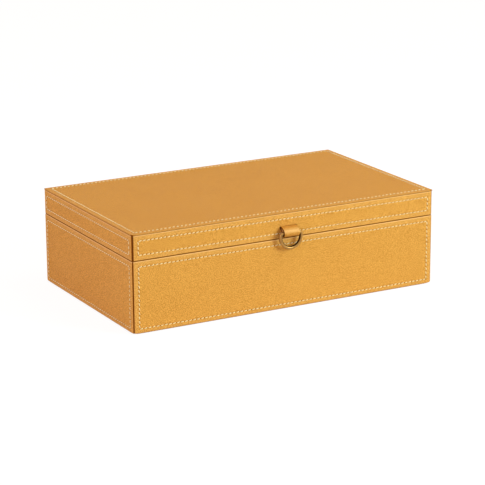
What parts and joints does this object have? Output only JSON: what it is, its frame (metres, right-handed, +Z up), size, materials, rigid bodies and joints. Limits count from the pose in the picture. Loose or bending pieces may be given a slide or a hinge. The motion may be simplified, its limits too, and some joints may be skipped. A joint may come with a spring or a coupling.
{
  "type": "leather trunk box",
  "caption": "Low rectangular box with a shallow hinged lid, wrapped in stitched leather panels and lined with suede, opened by a ring hung in a leather tab.",
  "frame": {"origin": "on the ground plane under the middle of the box's body, at the centre of the felt underside", "axes": "+X to the right along the front, +Y to the back where the hinges are, +Z up; the pull ring is on the -Y face"},
  "size_m": [0.39, 0.2516, 0.114],
  "materials": {
    "leather": "mustard tan grained leather, satin, with dark edges",
    "thread": "cream waxed thread",
    "board": "plain board",
    "suede": "brown suede",
    "felt": "dark brown felt",
    "brass": "antique brass, satin"
  },
  "bodies": {
    "base": {"base_front_board": "board", "base_back_board": "board", "base_left_board": "board", "base_right_board": "board", "base_floor_board": "board", "base_front_leather": "leather", "base_back_leather": "leather", "base_left_leather": "leather", "base_right_leather": "leather", "base_front_lining": "suede", "base_back_lining": "suede", "base_left_lining": "suede", "base_right_lining": "suede", "base_floor_lining": "suede", "base_underside_felt": "felt", "hinge_left_base_leaf": "brass", "hinge_left_pin": "brass", "hinge_left_base_screw_1": "brass", "hinge_left_base_screw_2": "brass", "hinge_left_base_screw_3": "brass", "hinge_right_base_leaf": "brass", "hinge_right_pin": "brass", "hinge_right_base_screw_1": "brass", "hinge_right_base_screw_2": "brass", "hinge_right_base_screw_3": "brass"},
    "lid": {"lid_front_board": "board", "lid_back_board": "board", "lid_left_board": "board", "lid_right_board": "board", "lid_top_board": "board", "lid_front_leather": "leather", "lid_back_leather": "leather", "lid_left_leather": "leather", "lid_right_leather": "leather", "lid_top_leather": "leather", "lid_front_lining": "suede", "lid_back_lining": "suede", "lid_left_lining": "suede", "lid_right_lining": "suede", "lid_top_lining": "suede", "pull_tab": "leather", "hinge_left_lid_leaf": "brass", "hinge_left_lid_screw_1": "brass", "hinge_left_lid_screw_2": "brass", "hinge_left_lid_screw_3": "brass", "hinge_right_lid_leaf": "brass", "hinge_right_lid_screw_1": "brass", "hinge_right_lid_screw_2": "brass", "hinge_right_lid_screw_3": "brass"},
    "ring": {"pull_ring": "brass"}
  },
  "joints": [
    {"name": "lid_hinge", "type": "hinge", "parent": "base", "child": "lid", "pos_m": [0, 0.1209, 0.084], "axis": [-1, 0, 0], "range_deg": [0, 95]},
    {"name": "ring_swing", "type": "hinge", "parent": "lid", "child": "ring", "pos_m": [0, -0.1235, 0.091], "axis": [-1, 0, 0], "range_deg": [-12, 190]}
  ]
}
